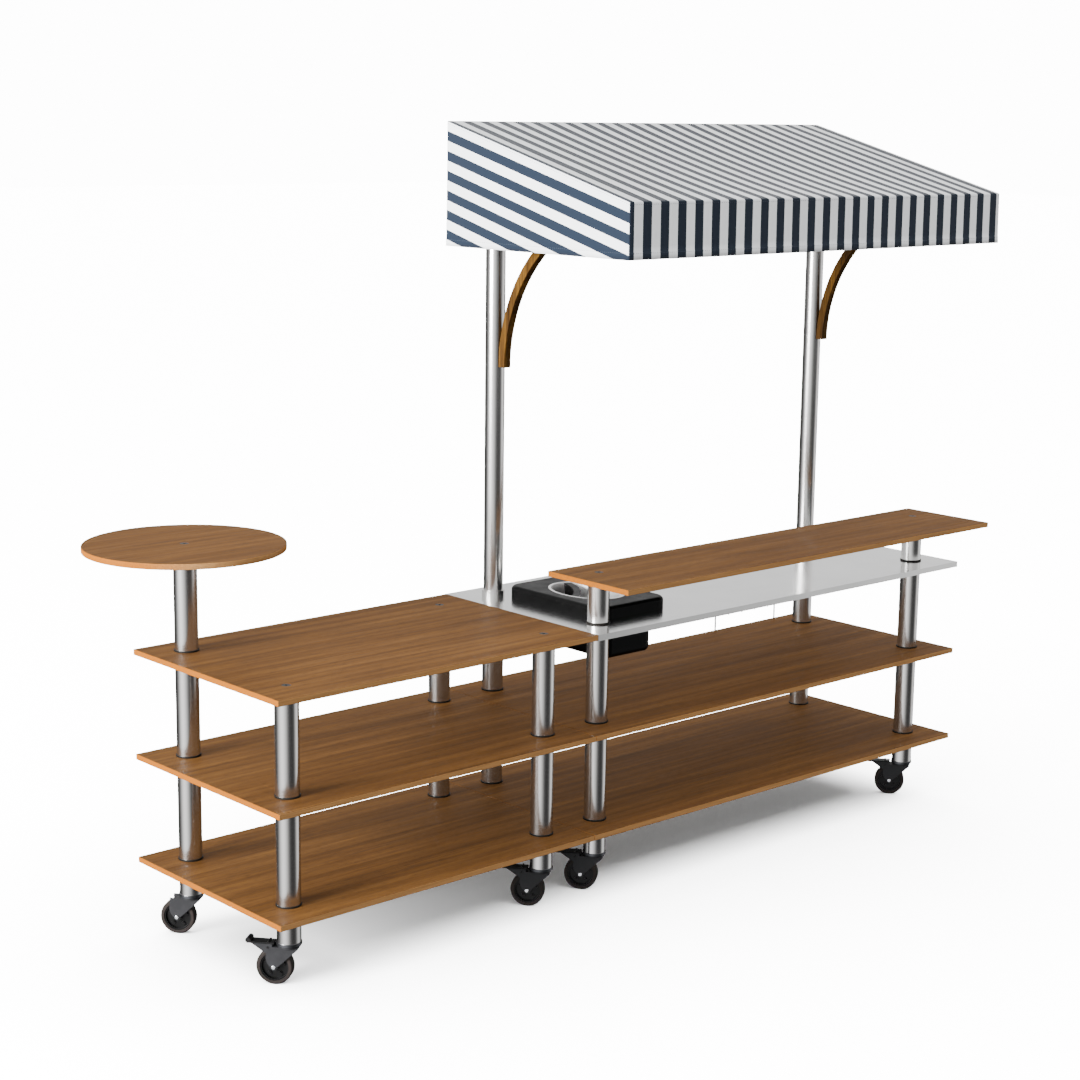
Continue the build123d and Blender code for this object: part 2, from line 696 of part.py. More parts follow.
def wheel():
    """Plastic wheel with a dished web and a ring of round studs on both faces."""
    half_rim = WHEEL_RIM_WIDTH / 2
    web = half_rim - DISH_DEPTH
    shape = axle_bar(half_rim, HUB_RADIUS) - axle_bar(half_rim, HUB_RADIUS - WHEEL_RIM_WALL)
    shape += axle_bar(web, HUB_RADIUS - WHEEL_RIM_WALL / 2)
    shape += axle_bar(FORK_GAP / 2 - HUB_GAP, WHEEL_BOSS_RADIUS)
    for index in range(STUDS):
        angle = radians(360 * index / STUDS)
        x = TRAIL + STUD_CIRCLE * sin(angle)
        z = AXLE_Z + STUD_CIRCLE * cos(angle)
        shape += cross_bar(x, z, STUD_SETBACK - half_rim, half_rim - STUD_SETBACK, STUD_RADIUS)
    return shape - axle_bar(FORK_GAP, AXLE_RADIUS + SHAFT_CLEARANCE)


def tyre():
    shape = axle_bar(TREAD_WIDTH / 2, WHEEL_RADIUS)
    shape = fillet(shape.edges().filter_by(GeomType.CIRCLE), TREAD_ROUND)
    return shape - axle_bar(TREAD_WIDTH / 2, HUB_RADIUS + TYRE_SEAT)


PIVOT = (TRAIL + PIVOT_REACH, CROWN_BOTTOM + PIVOT_RISE)


def pedal():
    """Brake pedal with a rolled lip, a grip rib and its pivot pin."""
    low = CROWN_TOP + PEDAL_LIFT
    high = low + PEDAL_WEB
    half = PEDAL_WIDTH / 2
    end = TRAIL + PEDAL_END
    shape = block(PLATE_RADIUS + PEDAL_CLEARANCE, end, -half, half, low, high)
    shape += cross_bar(end - PEDAL_LIP_RADIUS / 2, low + PEDAL_LIP_RADIUS, -half, half, PEDAL_LIP_RADIUS)
    shape += cross_bar(PIVOT[0], high, -half, half, PEDAL_RIB)
    left = PIVOT[0] - PEDAL_FLANGE_LENGTH / 2 + PEDAL_FLANGE
    right = left + PEDAL_FLANGE_LENGTH
    for start in (-half, half - PEDAL_FLANGE):
        shape += block(left, right, start, start + PEDAL_FLANGE, low - PEDAL_FLANGE_DROP, low)
    pin_half = FORK_GAP / 2 + CHEEK + PIVOT_OVERHANG
    return shape + cross_bar(*PIVOT, -pin_half, pin_half, PIVOT_RADIUS)


# Build and write every sub-part

os.makedirs("parts", exist_ok=True)

save("side_bottom_shelf", [shelf(0, SIDE_LENGTH, BOTTOM_TOP, SIDE_POSTS)])
save("side_middle_shelf", [shelf(0, SIDE_LENGTH, MIDDLE_TOP, SIDE_POSTS)])
save("side_top_board", [side_top_board()])
save("round_table_top", [round_table_top()])
save("main_bottom_shelf", [shelf(MAIN_START, MAIN_END, BOTTOM_TOP, MAIN_POSTS)])
save("main_middle_shelf", [shelf(MAIN_START, MAIN_END, MIDDLE_TOP, MAIN_POSTS)])
save("service_ledge", [service_ledge()])
save("steel_counter", [steel_counter()])
save("side_unit_posts", posts(SIDE_POSTS))
save("main_unit_posts", posts(MAIN_POSTS))
save("post_rings", post_rings())
save("tie_rods", tie_rods())
save("cap_bolts", cap_bolts())
save("sink_housing", [sink_housing()])
save("sink_bowl", [sink_bowl()])
save("sink_divider", [sink_divider()])
save("sink_drain", [drain()])
save("wire_rack", wire_rack())
save("awning_posts", awning_posts())
save("post_collars", post_collars())
save("awning_brackets", [awning_bracket(*place) for place in MAIN_BACK_POSTS.values()])
save("awning_frame", awning_frame())
save("awning_cover", [awning_cover()])
save("caster_plates", [caster_plate(*place) for place in CASTERS.values()])

for name in CASTERS:
    save(f"{name}_fork", [at_caster(name, fork(name in BRAKED))])
    save(f"{name}_axle", [at_caster(name, axle())])
    save(f"{name}_wheel", [at_caster(name, wheel())])
    save(f"{name}_tyre", [at_caster(name, tyre())])
for name in BRAKED:
    save(f"{name}_pedal", [at_caster(name, pedal())])
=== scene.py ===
# %% [markdown]
# # A push vending cart
# The cart is two wheeled units that stand side by side. The side unit has three wooden shelves and
# a round table on a tall post. The main unit has a steel counter with a drop-in sink, a service
# ledge and a striped canvas awning. The shapes of the hard pieces come from the CAD frame, so this
# lesson is about what Blender adds: finishes, the sewn canopy, softened wood, light and a camera.
# The frame is loaded first, and its box is kept, because nothing made later may outgrow it.

# %% Load the frame
import math

import bmesh
import bpy
from mathutils import Matrix, Vector, noise


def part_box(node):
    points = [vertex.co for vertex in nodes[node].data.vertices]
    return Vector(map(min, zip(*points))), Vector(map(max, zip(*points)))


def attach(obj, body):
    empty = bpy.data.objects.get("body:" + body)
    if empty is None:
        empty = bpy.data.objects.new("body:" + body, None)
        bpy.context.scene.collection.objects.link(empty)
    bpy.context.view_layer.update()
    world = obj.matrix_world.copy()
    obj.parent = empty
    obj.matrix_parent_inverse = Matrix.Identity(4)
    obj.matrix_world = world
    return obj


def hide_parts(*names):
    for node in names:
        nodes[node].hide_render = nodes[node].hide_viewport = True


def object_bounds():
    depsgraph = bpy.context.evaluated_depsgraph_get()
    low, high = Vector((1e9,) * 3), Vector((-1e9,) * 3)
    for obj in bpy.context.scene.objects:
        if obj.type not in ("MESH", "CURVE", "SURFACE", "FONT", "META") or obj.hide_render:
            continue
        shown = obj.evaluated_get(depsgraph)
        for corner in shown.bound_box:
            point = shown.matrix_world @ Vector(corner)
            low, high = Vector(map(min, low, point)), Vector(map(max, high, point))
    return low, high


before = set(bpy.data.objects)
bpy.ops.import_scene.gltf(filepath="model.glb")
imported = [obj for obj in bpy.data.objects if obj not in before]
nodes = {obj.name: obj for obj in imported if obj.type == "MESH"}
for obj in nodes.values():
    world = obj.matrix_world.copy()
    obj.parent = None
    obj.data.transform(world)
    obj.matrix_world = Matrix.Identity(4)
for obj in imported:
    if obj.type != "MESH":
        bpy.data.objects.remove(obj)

cad_low, cad_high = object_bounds()
print("Frame box in metres:", [round(v, 3) for v in cad_high - cad_low], "nodes:", len(nodes))

# %% [markdown]
# ## Tools for finishes
# A finish is a small network of nodes. Two helpers keep the cells short. One turns a colour as a
# paint chart writes it into the linear numbers that light is worked out with. The other adds a
# node and plugs in its values and links in one line. Metres are the unit of the scene, and most
# patterns are thought of in millimetres, so there is a value for that too.

# %% Colour and node helpers
MM = 0.001


def paint(chart):
    """Linear colour, opaque, from an sRGB hex value."""
    parts = [int(chart[i:i + 2], 16) / 255 for i in (1, 3, 5)]
    return [p / 12.92 if p <= 0.04045 else ((p + 0.055) / 1.055) ** 2.4 for p in parts] + [1.0]


def add(tree, kind, inputs=None, stops=None, **settings):
    """Add one node with its settings, its socket values or links, and its colour stops."""
    node = tree.nodes.new(kind)
    for name, value in settings.items():
        setattr(node, name, value)
    for socket, value in (inputs or {}).items():
        if isinstance(value, bpy.types.NodeSocket):
            tree.links.new(value, node.inputs[socket])
        else:
            node.inputs[socket].default_value = value
    if stops:
        ramp = node.color_ramp
        while len(ramp.elements) < len(stops):
            ramp.elements.new(0.5)
        for element, (place, chart) in zip(ramp.elements, stops):
            element.position = place
            element.color = paint(chart)
    return node


def finish_named(name):
    """New material with an empty node tree and an output."""
    material = bpy.data.materials.new(name)
    material.use_nodes = True
    material.node_tree.nodes.clear()
    return material, material.node_tree


def close_finish(tree, shader):
    """Link the last shader to the output."""
    add(tree, "ShaderNodeOutputMaterial", {"Surface": shader.outputs[0]})


print("Test colour, chart #808080 in linear light:", [round(v, 3) for v in paint("#808080")])

# %% [markdown]
# ## Oiled teak
# The shelves, the ledge and the round table are oiled teak boards. Their grain runs along the cart.
# Wood could be a picture wrapped round each board, but solid noise in the board's own coordinates
# needs no picture and runs correctly through every cut edge. Three scales of noise are layered:
# broad streaks 60 mm wide, growth lines 8 mm wide, and open pores. Real pores are 0.2 mm wide,
# which is too fine to show, so they are drawn 1.2 mm wide. Cut edges take less oil, so they stay
# lighter, and on the ends the growth lines show as spots. A soft arris catches the light along
# each edge.

# %% Oiled teak for boards and for the dark brackets


def wood_finish(name, charts, edge_chart=None, end_chart=None, grain_axis=0, rough=0.6):
    """Oiled hardwood whose grain follows one axis. The charts run from dark to light."""
    material, tree = finish_named(name)
    place = add(tree, "ShaderNodeTexCoord").outputs["Object"]

    def stretched(along, across):
        scale = [across] * 3
        scale[grain_axis] = along
        return add(tree, "ShaderNodeMapping", {"Vector": place, "Scale": scale}).outputs[0]

    streaks = add(tree, "ShaderNodeTexNoise", {
        "Vector": stretched(1.3, 34), "Scale": 1, "Detail": 4, "Roughness": 0.6, "Distortion": 0.3})
    lines = add(tree, "ShaderNodeTexNoise", {
        "Vector": stretched(7, 240), "Scale": 1, "Detail": 5, "Roughness": 0.65, "Distortion": 0.2})
    pores = add(tree, "ShaderNodeTexNoise", {
        "Vector": stretched(28, 800), "Scale": 1, "Detail": 1, "Roughness": 0.5})
    grain = add(tree, "ShaderNodeMix", {
        "Factor": 0.42, 2: streaks.outputs["Fac"], 3: lines.outputs["Fac"]}, data_type="FLOAT")
    colour = add(tree, "ShaderNodeValToRGB", {"Fac": grain.outputs[0]}, stops=[
        (0.31, charts[0]), (0.44, charts[1]), (0.56, charts[2]), (0.69, charts[3])])
    pore_mask = add(tree, "ShaderNodeMapRange", {
        "Value": pores.outputs["Fac"], "From Min": 0.56, "From Max": 0.7,
        "To Min": 0, "To Max": 0.45})
    face = add(tree, "ShaderNodeMix", {
        "Factor": pore_mask.outputs[0], 6: colour.outputs[0], 7: paint(charts[0])},
        data_type="RGBA", blend_type="MULTIPLY")

    base = face.outputs[2]
    if edge_chart:
        # Which way a face looks says whether it is a long edge or an end
        turned = add(tree, "ShaderNodeTexCoord").outputs["Normal"]
        split = add(tree, "ShaderNodeSeparateXYZ", {"Vector": turned})
        upright = add(tree, "ShaderNodeMath", {0: split.outputs["Z"]}, operation="ABSOLUTE")
        is_edge = add(tree, "ShaderNodeMapRange", {
            "Value": upright.outputs[0], "From Min": 0.75, "From Max": 0.45,
            "To Min": 0, "To Max": 1})
        along = add(tree, "ShaderNodeMath", {0: split.outputs["X"]}, operation="ABSOLUTE")
        is_end = add(tree, "ShaderNodeMapRange", {
            "Value": along.outputs[0], "From Min": 0.45, "From Max": 0.85,
            "To Min": 0, "To Max": 1})
        edge_tint = add(tree, "ShaderNodeMix", {
            "Factor": is_end.outputs[0], 6: paint(edge_chart), 7: paint(end_chart)},
            data_type="RGBA")
        edge_lines = add(tree, "ShaderNodeMapRange", {
            "Value": lines.outputs["Fac"], "From Min": 0.3, "From Max": 0.7,
            "To Min": 0.72, "To Max": 1.12})
        edge_colour = add(tree, "ShaderNodeMix", {
            "Factor": 1, 6: edge_tint.outputs[2], 7: edge_lines.outputs[0]},
            data_type="RGBA", blend_type="MULTIPLY")
        base = add(tree, "ShaderNodeMix", {
            "Factor": is_edge.outputs[0], 6: face.outputs[2], 7: edge_colour.outputs[2]},
            data_type="RGBA").outputs[2]

    # Oil lies thicker on the dark growth lines and leaves them a little glossier
    gloss = add(tree, "ShaderNodeMapRange", {
        "Value": lines.outputs["Fac"], "From Min": 0.35, "From Max": 0.65,
        "To Min": rough - 0.07, "To Max": rough + 0.08})
    height = add(tree, "ShaderNodeMix", {
        "Factor": 0.5, 2: pores.outputs["Fac"], 3: lines.outputs["Fac"]}, data_type="FLOAT")
    bump = add(tree, "ShaderNodeBump", {
        "Height": height.outputs[0], "Strength": 0.25, "Distance": 0.35 * MM})
    shader = add(tree, "ShaderNodeBsdfPrincipled", {
        "Base Color": base, "Roughness": gloss.outputs[0], "Normal": bump.outputs[0],
        "IOR": 1.4, "Specular IOR Level": 0.05})
    close_finish(tree, shader)
    return material


teak = wood_finish(
    "oiled teak", ["#35210c", "#422a11", "#503518", "#5f411f"], "#8d673f", "#864c10")
bent_wood = wood_finish(
    "bent dark teak", ["#160d05", "#2c1c0a", "#4c3312", "#71501e"], grain_axis=2)
print("Wood finishes:", teak.name, "and", bent_wood.name, "with",
      len(teak.node_tree.nodes), "and", len(bent_wood.node_tree.nodes), "nodes")

# %% [markdown]
# ## Satin stainless tube
# The posts are stainless tube with a satin finish, ground round and round, so the grit leaves fine
# rings. Those rings stretch a reflection up and down the tube. Grit lines are 0.1 mm wide, too
# fine to show, so they are drawn 1.4 mm wide. A metal gets its look from what it mirrors, so most of
# the work is in roughness: an even grind, with slow clouds of handling marks laid over it.

# %% Satin stainless, ground round the tube


def metal_finish(name, chart, rough, spread, scale, bump_height, tint, strength=0.2, cloud=6.0):
    """Bare or plated metal. Scale stretches the grit pattern along each axis."""
    material, tree = finish_named(name)
    place = add(tree, "ShaderNodeTexCoord").outputs["Object"]
    grit = add(tree, "ShaderNodeTexNoise", {
        "Vector": add(tree, "ShaderNodeMapping", {"Vector": place, "Scale": scale}).outputs[0],
        "Scale": 1, "Detail": 3, "Roughness": 0.65})
    handling = add(tree, "ShaderNodeTexNoise", {
        "Vector": place, "Scale": cloud, "Detail": 3, "Roughness": 0.6})
    both = add(tree, "ShaderNodeMix", {
        "Factor": 0.35, 2: grit.outputs["Fac"], 3: handling.outputs["Fac"]}, data_type="FLOAT")
    satin = add(tree, "ShaderNodeMapRange", {
        "Value": both.outputs[0], "From Min": 0.3, "From Max": 0.7,
        "To Min": rough - spread, "To Max": rough + spread})
    shade = add(tree, "ShaderNodeMix", {
        "Factor": handling.outputs["Fac"], 6: paint(chart), 7: paint(tint)}, data_type="RGBA")
    bump = add(tree, "ShaderNodeBump", {
        "Height": grit.outputs["Fac"], "Strength": strength, "Distance": bump_height})
    shader = add(tree, "ShaderNodeBsdfPrincipled", {
        "Base Color": shade.outputs[2], "Metallic": 1.0, "Roughness": satin.outputs[0],
        "Normal": bump.outputs[0]})
    close_finish(tree, shader)
    return material


satin_tube = metal_finish(
    "satin stainless tube", "#cfcecd", 0.2, 0.035, (10, 10, 700), 0.01 * MM, "#c2c0be", 0.08)
mirror_sheet = metal_finish(
    "polished stainless sheet", "#d6d6d5", 0.17, 0.05, (320, 320, 320), 0.04 * MM, "#cacac9")
pressed_bowl = metal_finish(
    "pressed satin stainless", "#e8e8e7", 0.5, 0.06, (260, 260, 60), 0.04 * MM, "#dcdcdb")
print("Steel finishes:", [m.name for m in (satin_tube, mirror_sheet, pressed_bowl)])

# %% [markdown]
# ## Plated, blackened and cast metal
# Smaller hard parts carry other metal finishes: dark plating on the caster plates, bright zinc on
# axle bolts and rods, drawn wire on the rack and mill-finish aluminium on the awning's frame.
# They share the recipe of the tubes, because metal is one material with many surface treatments.

# %% Zinc, dark plating, drawn wire and aluminium
bright_zinc = metal_finish(
    "bright zinc plate", "#d3d4d6", 0.24, 0.06, (700, 700, 700), 0.02 * MM, "#c3c6cc")
drawn_wire = metal_finish(
    "drawn steel wire", "#6d6e70", 0.28, 0.05, (900, 900, 60), 0.02 * MM, "#5e5f62")
mill_aluminium = metal_finish(
    "mill finish aluminium", "#bfc1c3", 0.38, 0.06, (60, 700, 700), 0.03 * MM, "#aeb1b4")
plate_steel = metal_finish(
    "dark plated steel", "#55565a", 0.38, 0.06, (500, 500, 500), 0.03 * MM, "#444548", cloud=40)
print("Small metal finishes:",
      [m.name for m in (bright_zinc, plate_steel, drawn_wire, mill_aluminium)])

# %% [markdown]
# ## Plastic, rubber and paint
# The sink is moulded in black plastic with a fine leathery texture, the caster forks are pressed
# steel under satin black powder coat, the wheels are moulded nylon and the tyres soft rubber. The
# flush caps are steel under a thick black oxide, which hides the metal's own mirror look. What
# tells such dark materials apart is how tight the highlight is and how fine the skin of the surface
# is, so one recipe takes a colour, a roughness, a skin size and how dusty the surface is.

# %% Moulded plastic, powder coat and rubber


def skin_finish(name, chart, rough, skin, depth, dust_chart, dust, specular=0.5, strength=0.3):
    """Moulded, coated or rubber surface with a fine skin and a little dust."""
    material, tree = finish_named(name)
    place = add(tree, "ShaderNodeTexCoord").outputs["Object"]
    pebbles = add(tree, "ShaderNodeTexNoise", {
        "Vector": place, "Scale": 1 / skin, "Detail": 2, "Roughness": 0.5})
    wear = add(tree, "ShaderNodeTexNoise", {
        "Vector": place, "Scale": 22, "Detail": 5, "Roughness": 0.65})
    dusted = add(tree, "ShaderNodeMapRange", {
        "Value": wear.outputs["Fac"], "From Min": 0.42, "From Max": 0.72,
        "To Min": 0, "To Max": dust})
    shade = add(tree, "ShaderNodeMix", {
        "Factor": dusted.outputs[0], 6: paint(chart), 7: paint(dust_chart)}, data_type="RGBA")
    dull = add(tree, "ShaderNodeMapRange", {
        "Value": wear.outputs["Fac"], "From Min": 0.3, "From Max": 0.7,
        "To Min": rough - 0.06, "To Max": rough + 0.07})
    bump = add(tree, "ShaderNodeBump", {
        "Height": pebbles.outputs["Fac"], "Strength": strength, "Distance": depth})
    shader = add(tree, "ShaderNodeBsdfPrincipled", {
        "Base Color": shade.outputs[2], "Roughness": dull.outputs[0], "Normal": bump.outputs[0],
        "Specular IOR Level": specular})
    close_finish(tree, shader)
    return material


black_steel = skin_finish(
    "oxide blackened steel", "#1b1a19", 0.5, 0.9 * MM, 0.04 * MM, "#292725", 0.5, 0.15)
moulded_black = skin_finish(
    "moulded black plastic", "#030303", 0.42, 1.4 * MM, 0.08 * MM, "#0b0b0b", 0.4, 0.06)
powder_coat = skin_finish(
    "satin black powder coat", "#1a1a1c", 0.5, 0.9 * MM, 0.06 * MM, "#2a2a2c", 0.35, 0.2)
nylon_wheel = skin_finish(
    "moulded nylon wheel", "#030303", 0.4, 1.1 * MM, 0.05 * MM, "#0d0d0e", 0.4, 0.16)
nylon_pedal = skin_finish(
    "moulded nylon pedal", "#0b0b0b", 0.45, 1.0 * MM, 0.08 * MM, "#171718", 0.4, 0.16)
tread_rubber = skin_finish(
    "grey brown tread rubber", "#191412", 0.66, 1.2 * MM, 0.12 * MM, "#2e2724", 0.5, 0.16)
ring_rubber = skin_finish(
    "black ring rubber", "#0d0a07", 0.6, 1.0 * MM, 0.08 * MM, "#1b1612", 0.4, 0.14)
print("Dark finishes:", [m.name for m in (moulded_black, powder_coat, nylon_wheel, tread_rubber)])

# %% [markdown]
# ## Striped awning canvas
# The awning is acrylic canvas with woven stripes of navy and white. The stripes run down the slope
# and down the front, and along the slope on both ends. A stripe is woven in, so it must follow the
# cloth and not the room. The pattern reads a map that is laid on the cloth as it is cut, in which
# one unit across is one stripe. A second map gives thread places in metres. Real threads are
# 0.5 mm apart, too fine to show, so they are drawn 1.6 mm apart.

# %% Canvas with woven stripes
THREAD = 1.6 * MM
WAVE_PITCH = 0.3142  # metres from band to band in a wave texture of scale 1


def canvas_finish(name, navy, white):
    """Acrylic canvas whose stripes and threads follow the cloth's own maps."""
    material, tree = finish_named(name)
    stripes = add(tree, "ShaderNodeUVMap", uv_map="stripes").outputs[0]
    cloth = add(tree, "ShaderNodeUVMap", uv_map="threads").outputs[0]
    place = add(tree, "ShaderNodeTexCoord").outputs["Object"]
    across = add(tree, "ShaderNodeSeparateXYZ", {"Vector": stripes}).outputs["X"]
    pair = add(tree, "ShaderNodeMath", {0: across, 1: 0.5}, operation="MULTIPLY")
    part = add(tree, "ShaderNodeMath", {0: pair.outputs[0]}, operation="FRACT")
    is_navy = add(tree, "ShaderNodeMath", {0: part.outputs[0], 1: 0.5}, operation="LESS_THAN")
    warp = add(tree, "ShaderNodeTexWave", {
        "Vector": cloth, "Scale": WAVE_PITCH / THREAD}, wave_type="BANDS", bands_direction="X")
    weft = add(tree, "ShaderNodeTexWave", {
        "Vector": cloth, "Scale": WAVE_PITCH / THREAD}, wave_type="BANDS", bands_direction="Y")
    weave = add(tree, "ShaderNodeMath", {
        0: warp.outputs["Fac"], 1: weft.outputs["Fac"]}, operation="MULTIPLY")
    weathered = add(tree, "ShaderNodeTexNoise", {
        "Vector": place, "Scale": 3.2, "Detail": 5, "Roughness": 0.6})
    drawn_out = add(tree, "ShaderNodeMapping", {"Vector": cloth, "Scale": (420, 30, 1)})
    slubs = add(tree, "ShaderNodeTexNoise", {
        "Vector": drawn_out.outputs[0], "Scale": 1, "Detail": 2})
    dyed = add(tree, "ShaderNodeMix", {
        "Factor": is_navy.outputs[0], 6: paint(white), 7: paint(navy)}, data_type="RGBA")
    # Painted shade of the weave: the low places between threads are painted darker and the thread
    # crossings a little lighter, following the same height as the bump
    depth = add(tree, "ShaderNodeMapRange", {
        "Value": weave.outputs[0], "From Min": 0, "From Max": 1, "To Min": 0.88, "To Max": 1.04})
    slub_tone = add(tree, "ShaderNodeMapRange", {
        "Value": slubs.outputs["Fac"], "From Min": 0.3, "From Max": 0.7,
        "To Min": 0.95, "To Max": 1.04})
    weather_tone = add(tree, "ShaderNodeMapRange", {
        "Value": weathered.outputs["Fac"], "From Min": 0.3, "From Max": 0.7,
        "To Min": 0.95, "To Max": 1.02})
    tone = add(tree, "ShaderNodeMath", {
        0: depth.outputs[0], 1: slub_tone.outputs[0]}, operation="MULTIPLY")
    tone = add(tree, "ShaderNodeMath", {
        0: tone.outputs[0], 1: weather_tone.outputs[0]}, operation="MULTIPLY")
    colour = add(tree, "ShaderNodeMix", {
        "Factor": 1, 6: dyed.outputs[2], 7: tone.outputs[0]},
        data_type="RGBA", blend_type="MULTIPLY")
    rough = add(tree, "ShaderNodeMapRange", {
        "Value": weathered.outputs["Fac"], "From Min": 0.3, "From Max": 0.7,
        "To Min": 0.78, "To Max": 0.9})
    bump = add(tree, "ShaderNodeBump", {
        "Height": weave.outputs[0], "Strength": 0.35, "Distance": 0.25 * MM})
    shader = add(tree, "ShaderNodeBsdfPrincipled", {
        "Base Color": colour.outputs[2], "Roughness": rough.outputs[0], "Normal": bump.outputs[0],
        "Specular IOR Level": 0.12, "Sheen Weight": 0.14, "Sheen Roughness": 0.4})
    close_finish(tree, shader)
    return material


canvas = canvas_finish("striped acrylic canvas", "#19222f", "#f3f5f7")
print("Canvas threads drawn", THREAD / MM, "mm apart")

# %% [markdown]
# ## Finishes on the CAD pieces
# The hard pieces already have their true shape in the frame, so they only need their finish. Each
# CAD piece is matched to a finish by the family its name belongs to. Metal and plastic keep the
# flat and round faces that the CAD gave them.

# %% Give each CAD piece its finish
node_finish = {
    "side_unit_posts": satin_tube, "main_unit_posts": satin_tube, "awning_posts": satin_tube,
    "post_collars": satin_tube, "post_rings": ring_rubber, "tie_rods": bright_zinc,
    "cap_bolts": black_steel, "steel_counter": mirror_sheet, "sink_housing": moulded_black,
    "sink_bowl": pressed_bowl, "sink_divider": moulded_black, "sink_drain": pressed_bowl,
    "wire_rack": drawn_wire, "awning_frame": mill_aluminium, "caster_plates": plate_steel,
    "awning_brackets": bent_wood, "awning_cover": canvas,
}
family_finish = {
    "_fork": powder_coat, "_axle": bright_zinc, "_wheel": nylon_wheel, "_tyre": tread_rubber,
    "_pedal": nylon_pedal, "_shelf": teak, "_board": teak, "_ledge": teak, "_top": teak,
}


def dress(piece, material):
    """Put one finish on every face of a piece."""
    piece.data.materials.clear()
    piece.data.materials.append(material)


for name, node in nodes.items():
    ending = next((end for end in family_finish if name.endswith(end)), None)
    dress(node, node_finish[name] if name in node_finish else family_finish[ending])
print("CAD pieces with a finish:", len(nodes))

# %% [markdown]
# ## Boards with softened arrises
# A sawn board is never left with knife edges. The maker runs a router or sandpaper along each
# arris, which leaves a small round that catches a line of light. The CAD boards are sharp, so each
# is copied, its loose triangles are merged into one skin, and only its outline is rounded. The
# holes for the rods and caps keep their crisp rims. The copy then stands for the CAD board.

# %% Soften the outline of each board
ARRIS = 1.6 * MM
SAME_PLACE = 0.004 * MM
ON_SIDE = 0.02 * MM
SHARP = math.radians(50)


def merged_copy(node):
    """Mesh tools' copy of a CAD piece with its loose triangles joined."""
    skin = bmesh.new()
    skin.from_mesh(node.data)
    bmesh.ops.remove_doubles(skin, verts=skin.verts, dist=SAME_PLACE)
    return skin


def finish_piece(skin, name, material, slot, body, *stands_for):
    """Turn a worked skin into a piece that rides on a body and stands for CAD pieces."""
    mesh = bpy.data.meshes.new(name)
    skin.to_mesh(mesh)
    skin.free()
    piece = bpy.data.objects.new(name, mesh)
    bpy.context.scene.collection.objects.link(piece)
    dress(piece, material)
    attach(piece, body)
    if stands_for:
        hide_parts(*stands_for)
    return piece


def outline_edges(skin, low, high, is_round):
    """Sharp edges on the outside of a board, away from its holes."""
    centre, reach = (low + high) / 2, (high.x - low.x) / 2
    found = []
    for edge in skin.edges:
        if len(edge.link_faces) != 2 or edge.calc_face_angle(0) < SHARP:
            continue
        ends = [v.co for v in edge.verts]
        if is_round:
            outside = all((p.xy - centre.xy).length > reach - MM for p in ends)
        else:
            outside = any(all(abs(p[axis] - side[axis]) < ON_SIDE for p in ends)
                          for axis in (0, 1) for side in (low, high))
        if outside:
            found.append(edge)
    return found


board_names = ["side_bottom_shelf", "side_middle_shelf", "side_top_board", "round_table_top",
               "main_bottom_shelf", "main_middle_shelf", "service_ledge"]
for name in board_names:
    skin = merged_copy(nodes[name])
    low, high = (Vector(corner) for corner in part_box(name))
    rim = outline_edges(skin, low, high, name == "round_table_top")
    bmesh.ops.bevel(skin, geom=rim, offset=ARRIS, segments=3, profile=0.5, affect="EDGES",
                    clamp_overlap=False)
    softened = finish_piece(skin, "teak_" + name, teak, "wood", "cart", name)
    print(softened.name, "edges rounded:", len(rim), "faces:", len(softened.data.polygons))

# %% [markdown]
# ## The canopy
# The canopy is one sewn cover. Its top slopes to the front, and four valances hang from it and are
# joined at the corners. It could be a box, but cloth pulled over a frame dips between the rafters
# and its valances ripple a little, so the cover is made as one continuous sheet of small faces and
# each point is moved as the cloth would move. Where the frame supports the cloth it stays put. The
# sheet is laid with two maps as it is built: stripe numbers and thread places.

# %% Measure the cover's box and the frame below it
VALANCE = 0.174
FRONT_STRIPES = 49
SIDE_STRIPE = 31.9 * MM
HEM = 24 * MM
HEM_STEP, STEP_FALL = 0.8 * MM, 0.6 * MM
FOLD_ROUND = 4 * MM
CANVAS = 1.2 * MM

cover_low, cover_high = (Vector(corner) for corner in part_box("awning_cover"))
left, front, hem_z = cover_low
right, back, ridge_z = cover_high
brow_z = hem_z + VALANCE
slope = (ridge_z - brow_z) / (back - front)
stripe = (right - left) / FRONT_STRIPES
post_low, post_high = (Vector(corner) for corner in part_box("awning_posts"))
post_half = 0.5 * (post_high.y - post_low.y)
rafter_lines = [post_low.x + post_half, post_high.x - post_half]
print("Cover:", round(right - left, 3), "x", round(back - front, 3), "m, slope", round(slope, 3),
      "stripe", round(stripe / MM, 1), "mm, rafters at", [round(x, 3) for x in rafter_lines])

# %% [markdown]
# The dip of the top is a smooth curve in each bay between two rafters, deepest in the wide middle
# bay. The ripple of a valance is nothing at its top seam and grows towards the hem. It is made of a
# slow noise and a finer one, so that no two waves are equal. The cloth only moves to where no frame
# is: down between the rafters, and outwards on the valances.

# %% Shape of the stretched cloth
EDGE_REST = 28 * MM
RAFTER_REST = 14 * MM
END_DIP, MIDDLE_DIP = 1.5 * MM, 11 * MM
SLOW_RIPPLE, FINE_RIPPLE = 2.2 * MM, 0.8 * MM
bays = [
    (left + EDGE_REST, rafter_lines[0] - RAFTER_REST, END_DIP),
    (rafter_lines[0] + RAFTER_REST, rafter_lines[1] - RAFTER_REST, MIDDLE_DIP),
    (rafter_lines[1] + RAFTER_REST, right - EDGE_REST, END_DIP),
]


def roof_dip(x, y):
    """How far the top sinks below the straight slope."""
    run = (y - front - EDGE_REST) / (back - front - 2 * EDGE_REST)
    if not 0 < run < 1:
        return 0.0
    for start, end, depth in bays:
        if start < x < end:
            across = math.sin(math.pi * (x - start) / (end - start)) ** 0.8
            return depth * across * math.sin(math.pi * run) ** 0.7
    return 0.0


